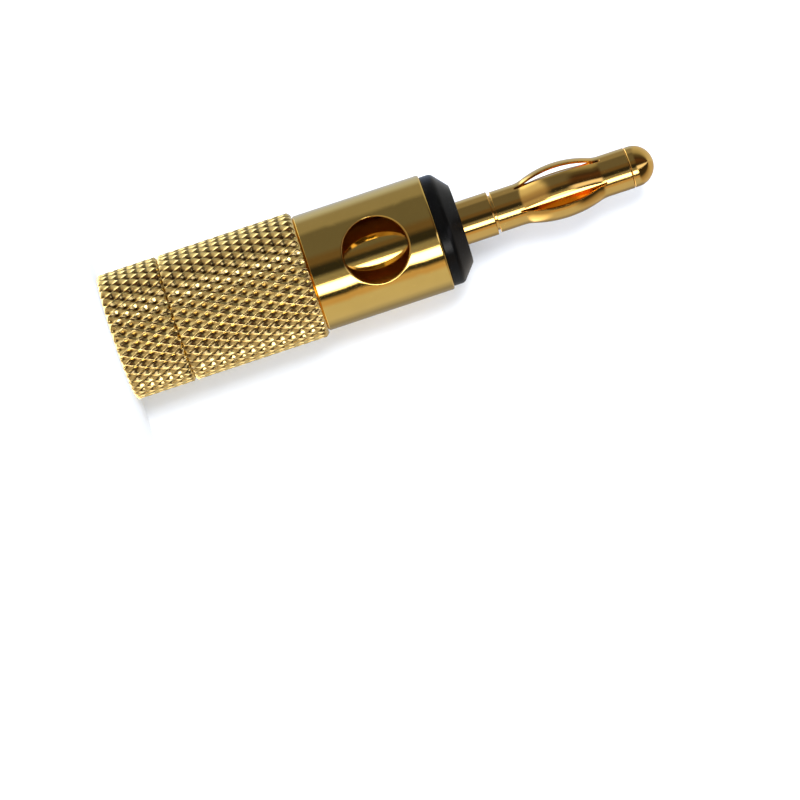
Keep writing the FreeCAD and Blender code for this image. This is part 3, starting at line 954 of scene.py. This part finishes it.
LEVEL_PANELS = (
    (-180, -128, PALE, COOL),
    (-112, -85, SOFT, WHITE),
    (-75, -32, DIM, WHITE),
    (-22, -14, DIM, WARM),
    (-4, 9, BLACK, WHITE),
    (17, 27, SOFT, WHITE),
    (32, 45, STRIP, WHITE),
    (50, 57, BLACK, WHITE),
    (64, 71, PALE, WARM),
    (80, 115, PALE, WHITE),
    (140, 170, SOFT, WHITE),
)
LEVEL_CARDS = [
    (edge, [level * channel for channel in tint])
    for first, last, level, tint in LEVEL_PANELS for edge in (first, last)]
REAR_CARDS = (
    (-180, (1.80, 1.80, 1.85)),
    (-145, (3.20, 3.20, 3.20)),
    (-100, (2.00, 2.00, 1.95)),
    (-70, (0.80, 0.80, 0.75)),
    (-48, (0.70, 0.68, 0.62)),
    (-25, (0.45, 0.38, 0.30)),
    (2, (0.30, 0.24, 0.20)),
    (14, (0.50, 0.44, 0.38)),
    (30, (0.45, 0.40, 0.34)),
    (45, (0.30, 0.24, 0.18)),
    (75, (0.50, 0.42, 0.32)),
    (100, (1.40, 1.30, 1.20)),
    (145, (2.60, 2.50, 2.50)),
)
TIP_CARDS = (
    (-180, (0.70, 0.70, 0.70)),
    (-110, (0.55, 0.55, 0.52)),
    (-80, (0.36, 0.36, 0.32)),
    (-62, (0.12, 0.11, 0.09)),
    (-40, (0.06, 0.04, 0.03)),
    (-25, (0.10, 0.05, 0.03)),
    (3, (0.04, 0.03, 0.02)),
    (10, (1.20, 1.15, 1.30)),
    (23, (1.20, 1.15, 1.30)),
    (30, (0.04, 0.03, 0.02)),
    (70, (0.05, 0.04, 0.03)),
    (92, (0.40, 0.32, 0.24)),
    (130, (0.60, 0.55, 0.50)),
)

world = bpy.data.worlds.new("studio")
bpy.context.scene.world = world
world.use_nodes = True
tree = world.node_tree
tree.nodes.clear()
where = node_in(tree, "ShaderNodeTexCoord")
way = node_in(tree, "ShaderNodeSeparateXYZ")
link(tree, where.outputs["Generated"], way.inputs[0])
bearing = Sum(tree, way.outputs["X"]).step("ARCTAN2", Sum(tree, way.outputs["Y"]) * -1.0)
rise = Sum(tree, way.outputs["Z"]).step("ARCSINE") * (180 / math.pi)


def card_ring(cards):
    """Colours set at their bearings, in degrees, and blended from each to the next."""
    ramp = node_in(tree, "ShaderNodeValToRGB")
    stops = ramp.color_ramp.elements
    for number, (angle, colour) in enumerate(cards):
        spot = (angle + 180) / 360
        stop = stops[number] if number < 2 else stops.new(spot)
        stop.position = spot
        stop.color = (*colour, 1)
    link(tree, bearing / (2 * math.pi) + 0.5, ramp.inputs["Fac"])
    return ramp.outputs["Color"]


def blended(amount, first, second):
    mix = node_in(tree, "ShaderNodeMix", data_type="RGBA")
    link(tree, amount, mix.inputs[0])
    link(tree, first, mix.inputs[6])
    link(tree, second, mix.inputs[7])
    return mix.outputs[2]


def eased(start, end):
    """Share that grows smoothly from 0 to 1 between two heights in degrees."""
    share = node_in(tree, "ShaderNodeMapRange", interpolation_type="SMOOTHSTEP")
    link(tree, rise, share.inputs["Value"])
    share.inputs["From Min"].default_value = start
    share.inputs["From Max"].default_value = end
    return share.outputs["Result"]


level_and_tip = blended(eased(*TIP_FADE), card_ring(LEVEL_CARDS), card_ring(TIP_CARDS))
cards = blended(eased(*REAR_FADE), level_and_tip, card_ring(REAR_CARDS))
ray = node_in(tree, "ShaderNodeLightPath")
seen = node_in(tree, "ShaderNodeMix", data_type="RGBA")
link(tree, ray.outputs["Is Glossy Ray"], seen.inputs[0])
link(tree, cards, seen.inputs[7])
seen.inputs[6].default_value = (1.0, 1.0, 1.0, 1)
studio = node_in(tree, "ShaderNodeBackground")
link(tree, seen.outputs[2], studio.inputs["Color"])
link(tree, studio.outputs[0], node_in(tree, "ShaderNodeOutputWorld").inputs["Surface"])
world.cycles.sampling_method = "NONE"

lamp = bpy.data.lights.new("soft_lamp", "AREA")
lamp.shape = "DISK"
lamp.size = 0.16
lamp.energy = 1.3
lamp_stand = bpy.data.objects.new("soft_lamp", lamp)
lamp_stand.location = (-0.11, -0.32, 0.05)
aim = Vector((0, 0, 0.02)) - lamp_stand.location
lamp_stand.rotation_euler = aim.to_track_quat("-Z", "Y").to_euler()
lamp_stand.visible_glossy = False
bpy.context.scene.collection.objects.link(lamp_stand)

bpy.context.scene.view_settings.view_transform = "Standard"


# Camera
# Level with the middle of the plug and square to its side hole, turned so that the plug
# climbs to the right as in the photograph.

CLIMB = math.radians(18.40)
EYE = Vector((0.01136, -0.2991, 0.0191))

camera_data = bpy.data.cameras.new("camera")
camera_data.sensor_width = 36
camera_data.lens = 175.5
camera_data.clip_start, camera_data.clip_end = 0.01, 20
camera = bpy.data.objects.new("camera", camera_data)
right = Vector((math.sin(CLIMB), 0, math.cos(CLIMB)))
up = Vector((-math.cos(CLIMB), 0, math.sin(CLIMB)))
back = Vector((0, -1, 0))
turn = Matrix((right, up, back)).transposed()
camera.matrix_world = Matrix.Translation(EYE) @ turn.to_4x4()
bpy.context.scene.collection.objects.link(camera)
bpy.context.scene.camera = camera

bpy.context.view_layer.update()
